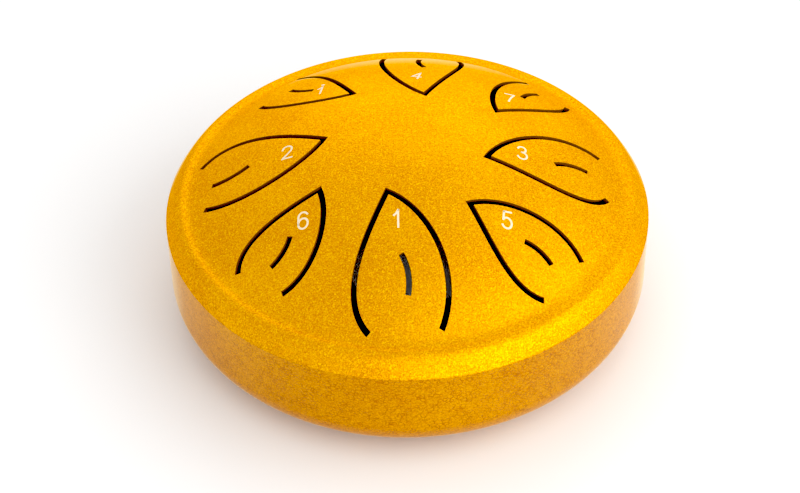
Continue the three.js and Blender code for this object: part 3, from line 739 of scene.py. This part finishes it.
enamel, tree, shader, coordinates = new_finish("white_enamel")
grain_node = add_node(tree, "ShaderNodeGroup", {"node_tree": grain},
                      Position=coordinates.outputs["Object"])
thin_share = maths(tree, "MULTIPLY", grain_node.outputs["Crease"], THIN_OVER_CREASES)
tree.links.new(mix_colours(tree, thin_share, ENAMEL_WHITE, THIN_ENAMEL), shader.inputs["Base Color"])
dullness = remap(tree, grain_node.outputs["Mottle"], 0.3, 0.7, to_low=0.42, to_high=0.55)
tree.links.new(dullness, shader.inputs["Roughness"])
raise_relief(tree, shader, grain_node.outputs["Height"], strength=0.35, distance=0.0001)

NUMERAL_HEIGHT = 0.0064
NUMERAL_WIDTH = 0.0036
NUMERAL_STROKE = 0.00066
STROKE_SPACING = 0.00035
BOWL_STEP = 7
PAINT_FILM = 0.00007
PAINT_SUNK = 0.00003
DOT_RADIUS = 0.00062
DOT_ABOVE = 0.00132
DOT_SEGMENTS = 32


def bowl(x, y, half_width, half_height, start, end):
    """Points of a numeral's round part, from one angle to the other."""
    steps = max(6, round(abs(end - start) / BOWL_STEP))
    angles = [math.radians(start + (end - start) * k / steps) for k in range(steps + 1)]
    return [(x + half_width * math.cos(a), y + half_height * math.sin(a)) for a in angles]


# Each numeral's strokes, as shares of its width and height.
STROKES = {
    "1": [[(0.14, 0.7), (0.34, 0.8), (0.56, 1)], [(0.56, 1), (0.56, 0)]],
    "2": [bowl(0.5, 0.74, 0.5, 0.26, 180, -20) + [(0.86, 0.52), (0.4, 0.25), (0.04, 0.03)],
          [(0, 0), (1, 0)]],
    "3": [bowl(0.46, 0.77, 0.42, 0.23, 160, -90), bowl(0.46, 0.27, 0.5, 0.27, 90, -160)],
    "4": [[(0.74, 0), (0.74, 1)], [(0.74, 1), (0, 0.3)], [(0, 0.3), (1, 0.3)]],
    "5": [[(0.92, 1), (0.2, 1)], [(0.2, 1), (0.1, 0.52)], bowl(0.46, 0.32, 0.5, 0.32, 135, -155)],
    "6": [bowl(0.5, 0.7, 0.5, 0.3, 30, 180) + [(0, 0.5), (0, 0.31)],
          bowl(0.5, 0.31, 0.5, 0.31, 180, -180)],
    "7": [[(0, 1), (1, 1)], [(1, 1), (0.66, 0.6), (0.45, 0.3), (0.32, 0)]],
}


def add_stroke(bm, points, width):
    """One printed stroke: a narrow grid bent along the line."""
    half = width / 2
    points = evenly(points, STROKE_SPACING)
    ahead = (points[1] - points[0]).normalized()
    behind = (points[-1] - points[-2]).normalized()
    points = [points[0] - ahead * half] + points[1:-1] + [points[-1] + behind * half]
    left, right = beside(points, half), beside(points, -half)
    made = bmesh.ops.create_grid(bm, x_segments=len(points) - 1, y_segments=1, size=1)
    for vert in made["verts"]:
        i = round((vert.co.x + 1) / 2 * (len(points) - 1))
        at = left[i] if vert.co.y > 0 else right[i]
        vert.co = (at.x, at.y, 0)


def print_on_dome(bm, spot, tilt):
    """Turns the flat print, sets it at its spot and wraps it on the dome, a paint film thick."""
    made = bmesh.ops.extrude_face_region(bm, geom=bm.faces[:])
    lifted = [g for g in made["geom"] if isinstance(g, bmesh.types.BMVert)]
    bmesh.ops.translate(bm, vec=(0, 0, PAINT_FILM), verts=lifted)
    bmesh.ops.recalc_face_normals(bm, faces=bm.faces[:])
    turn = Matrix.Rotation(math.radians(tilt), 4, "Z")
    for vert in bm.verts:
        vert.co = on_dome(turn @ vert.co + Vector((spot.x, spot.y, -PAINT_SUNK)))


width, tall = NUMERAL_WIDTH - NUMERAL_STROKE, NUMERAL_HEIGHT - NUMERAL_STROKE
for note, tongue in TONGUES.items():
    spot = Matrix.Rotation(math.radians(tongue["azimuth"]), 2) @ Vector(tongue["numeral"]) * MM
    ink = bmesh.new()
    for stroke in STROKES[tongue["digit"]]:
        line = [Vector(((x - 0.5) * width, (y - 0.5) * tall)) for x, y in stroke]
        add_stroke(ink, line, NUMERAL_STROKE)
    print_on_dome(ink, spot, tongue["tilt"])
    numeral = keep_piece(f"printed_numeral_{note}", ink, (enamel,), f"numeral_{note}")
    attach(numeral, f"note_{note}")
    if note == "high_1":
        ink = bmesh.new()
        bmesh.ops.create_circle(ink, cap_ends=True, cap_tris=True, segments=DOT_SEGMENTS,
                                radius=DOT_RADIUS)
        bmesh.ops.translate(ink, vec=(0, NUMERAL_HEIGHT / 2 + DOT_ABOVE, 0), verts=ink.verts[:])
        print_on_dome(ink, spot, tongue["tilt"])
        dot = keep_piece("printed_octave_dot", ink, (enamel,), "octave_dot")
        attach(dot, "note_high_1")


# Bottom pan
# The lower half is pressed from the same sheet: a flat floor with a turned-in sound hole, a broad
# rounded edge and an upright wall that ends just under the top shell's lip.

PAN_BOTTOM = 0.004
EDGE_RADIUS = 0.0115
HOLE_RADIUS = 0.019
COLLAR_BEND = 0.0014
COLLAR_HEIGHT = 0.0042
SEAM = 0.000005
COLLAR_STEPS = (10, 8)
EDGE_STEPS = (24, 20)

wall_top = CREASE - LIP_DEPTH - SEAM
edge_centre = DRUM_RADIUS - EDGE_RADIUS
edge_level = PAN_BOTTOM + EDGE_RADIUS
bend_radius = HOLE_RADIUS + SHEET + COLLAR_BEND
bend_level = PAN_BOTTOM + SHEET + COLLAR_BEND
collar_top = PAN_BOTTOM + COLLAR_HEIGHT
pan_profile = arc(bend_radius, bend_level, SHEET + COLLAR_BEND, 180, 270, COLLAR_STEPS[0])
pan_profile += arc(edge_centre, edge_level, EDGE_RADIUS, -90, 0, EDGE_STEPS[0])
pan_profile += [(DRUM_RADIUS, wall_top), (DRUM_RADIUS - SHEET, wall_top)]
pan_profile += arc(edge_centre, edge_level, EDGE_RADIUS - SHEET, 0, -90, EDGE_STEPS[1])
pan_profile += arc(bend_radius, bend_level, COLLAR_BEND, 270, 180, COLLAR_STEPS[1])
pan_profile += [(HOLE_RADIUS + SHEET, collar_top - CORNER), (HOLE_RADIUS + SHEET - CORNER, collar_top),
                (HOLE_RADIUS + CORNER, collar_top), (HOLE_RADIUS, collar_top - CORNER)]
pan = bmesh.new()
spin_profile(pan, pan_profile, RIM_SEGMENTS, closed=True)
bmesh.ops.recalc_face_normals(pan, faces=pan.faces[:])
# Faces inside the pan, behind the collar and on the collar's rim get the near-black painted shade.
for face in pan.faces:
    middle = face.calc_center_median()
    outward = Vector((middle.x, middle.y, 0)).normalized()
    radius, sideways = middle.xy.length, face.normal.dot(outward)
    inside_floor = face.normal.z > FACING and radius > HOLE_RADIUS + WITHIN_SHEET
    inside_wall = sideways < -FACING and radius > edge_centre
    behind_collar = sideways > FACING and radius < edge_centre
    collar_rim = middle.z > collar_top - SHEET and radius < HOLE_RADIUS + 2 * SHEET
    if inside_floor or inside_wall or behind_collar or collar_rim:
        face.material_index = INSIDE
bottom_pan = keep_piece("pressed_bottom_pan", pan, (lacquer, inside_shade_finish), "bottom_pan")
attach(bottom_pan, "drum_body")


# Weld bead
# Skirt and wall are welded all round on the inside, where the bead stays bare and a little brown.
# It was laid in short steps, which show as even ripples.

STEEL_TONES = (0.34, 0.32, 0.3, 1), (0.12, 0.07, 0.045, 1)
BEAD_RADIUS = 0.00065
BEAD_SEGMENTS = 360
RIPPLES = 120
RIPPLE_DEPTH = 0.16

bare_steel, shader = mottled_finish("bare_weld_steel", scale=260.0, detail=5.0, tones=STEEL_TONES,
                                    contrast=(0.4, 0.62), spread=(0.35, 0.65),
                                    roughness=(0.4, 0.7), relief=(0.4, 0.0001))
shader.inputs["Metallic"].default_value = 0.9

bead = bmesh.new()
bead_ring = skirt_radius - BEAD_RADIUS
bead_level = CREASE - SKIRT_DEPTH - SKIRT_GAP - BEAD_RADIUS
bead_profile = arc(bead_ring, bead_level, BEAD_RADIUS, start=0, end=330, steps=11)
spin_profile(bead, bead_profile, BEAD_SEGMENTS, closed=True)
bmesh.ops.recalc_face_normals(bead, faces=bead.faces[:])
for vert in bead.verts:
    angle = math.atan2(vert.co.y, vert.co.x)
    ripple = 1 - RIPPLE_DEPTH * (0.5 + 0.5 * math.cos(angle * RIPPLES))
    away = (math.hypot(vert.co.x, vert.co.y) - bead_ring) * ripple
    vert.co = ((bead_ring + away) * math.cos(angle), (bead_ring + away) * math.sin(angle),
               bead_level + (vert.co.z - bead_level) * ripple)
weld = keep_piece("welded_rim_bead", bead, (bare_steel,), "rim_weld_bead", sharp=60)
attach(weld, "drum_body")


# Feet
# Three black rubber feet, slightly tapered, each with a pocket that hides its screw head. Their faces
# are moulded a little rough and hold some dust.

RUBBER_TONES = (0.011, 0.011, 0.012, 1), (0.045, 0.043, 0.04, 1)
FOOT_RING = 0.052
FOOT_ANGLES = (90, 210, 330)
FOOT_SEGMENTS = 64

rubber, shader = mottled_finish("black_rubber", scale=300.0, detail=6.0, tones=RUBBER_TONES,
                                contrast=(0.45, 0.75), roughness=(0.6, 0.85),
                                relief=(0.3, 0.00005), fine=(4200.0, 2.0))

# Radius and height, from the pocket's mouth round the outside and back through the screw's hole.
FOOT_PROFILE = ([(0.00335, 0.0002), (0.00355, 0)] + arc(0.0065, 0.0007, 0.0007, -90, 0, 6)
                + [(0.0078, 0.0018), (0.0083, 0.0034)] + arc(0.0081, 0.0036, 0.0004, 0, 90, 4)
                + [(0.0018, 0.004), (0.0018, 0.0022), (0.00335, 0.0022)])
for i, angle in enumerate(map(math.radians, FOOT_ANGLES), 1):
    foot = bmesh.new()
    spin_profile(foot, FOOT_PROFILE, FOOT_SEGMENTS, closed=True)
    bmesh.ops.recalc_face_normals(foot, faces=foot.faces[:])
    bmesh.ops.translate(foot, vec=(FOOT_RING * math.cos(angle), FOOT_RING * math.sin(angle), 0),
                        verts=foot.verts[:])
    moulded = keep_piece(f"rubber_foot_{i}_moulded", foot, (rubber,), f"rubber_foot_{i}")
    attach(moulded, "drum_body")


# Foot fixings
# A zinc-plated M3 pan-head screw holds each foot from below, with a washer and a nut inside the pan.
# The plating is bright with a faint grey and yellow haze.

ZINC_TONES = (0.62, 0.64, 0.66, 1), (0.5, 0.5, 0.46, 1)

zinc, shader = mottled_finish("zinc_plating", scale=900.0, detail=4.0, tones=ZINC_TONES,
                              roughness=(0.22, 0.42), relief=(0.15, 0.00003))
shader.inputs["Metallic"].default_value = 1.0

for kind in ("screw", "washer", "nut"):
    for i in range(1, len(FOOT_ANGLES) + 1):
        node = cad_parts[f"foot_{kind}_{i}"]
        node.data.materials.clear()
        node.data.materials.append(zinc)
